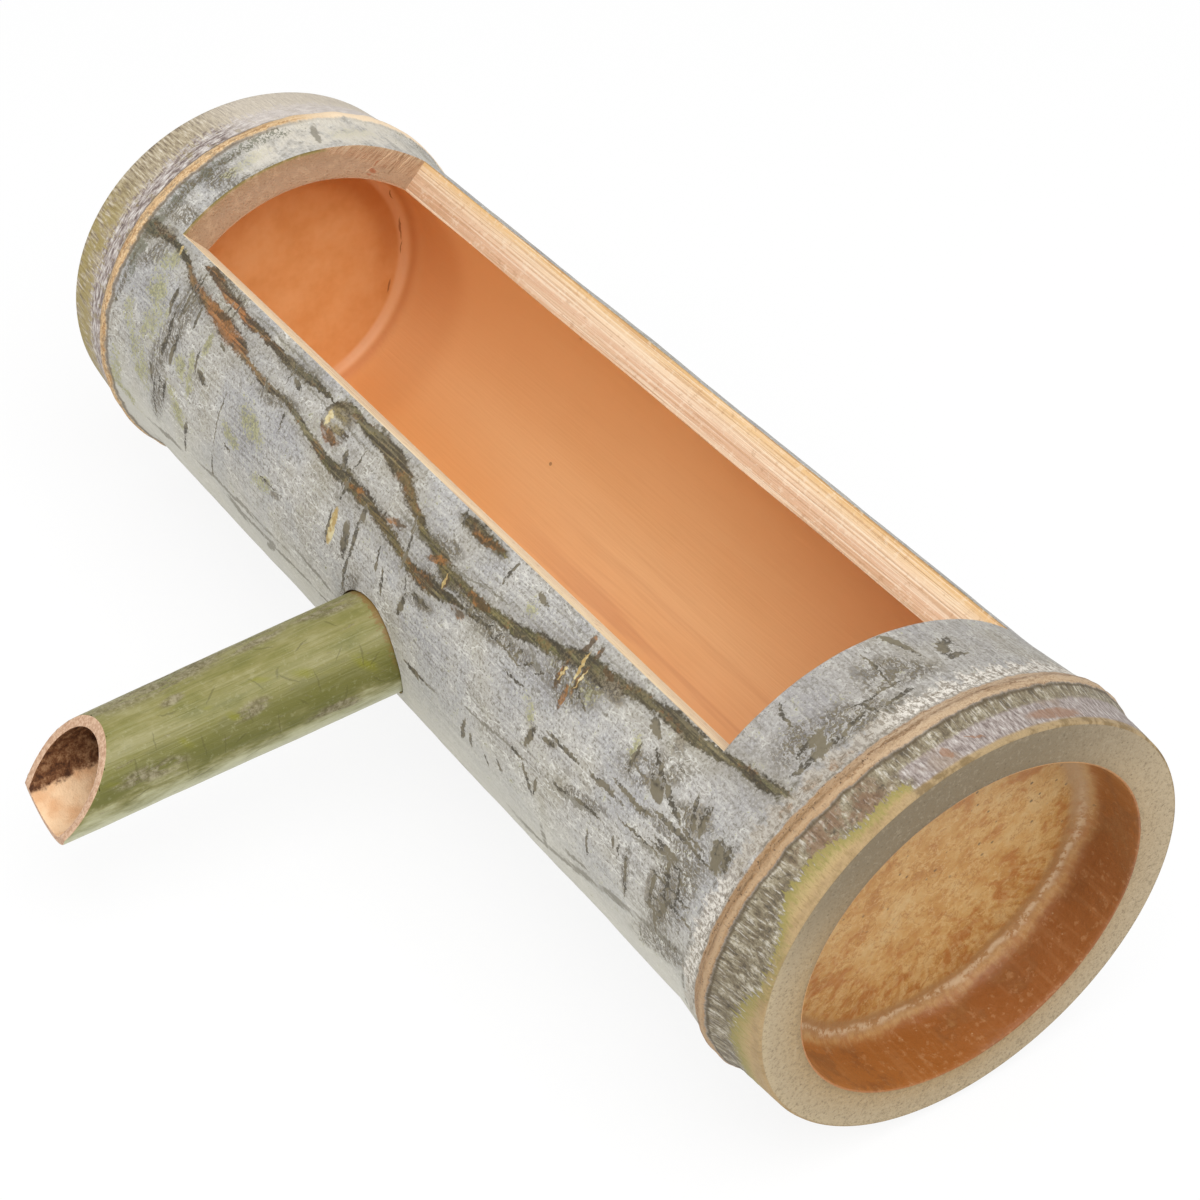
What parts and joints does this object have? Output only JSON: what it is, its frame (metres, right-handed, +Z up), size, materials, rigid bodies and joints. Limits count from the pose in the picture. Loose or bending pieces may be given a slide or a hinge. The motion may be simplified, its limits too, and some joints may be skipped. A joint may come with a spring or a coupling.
{
  "type": "bamboo water trough",
  "caption": "Bamboo culm trough closed by its own nodes, with a window split out of its top and a slant-cut bamboo spout in its side.",
  "frame": {"origin": "on the ground under the middle of the whole trough, spout included", "axes": "+X along the culm towards the front end, whose hollow is deeper; +Z up through the middle of the window; the spout points along -Y"},
  "size_m": [0.2516, 0.1604, 0.0934],
  "materials": {
    "bamboo_culm": "weathered grey skin outside, peach bare bamboo inside",
    "bamboo_spout": "satin green skin with grey weathering",
    "glue": "satin, slightly amber"
  },
  "bodies": {
    "root": {"trough_culm": "bamboo_culm", "spout_tube": "bamboo_spout", "spout_glue_bead": "glue"}
  },
  "joints": []
}
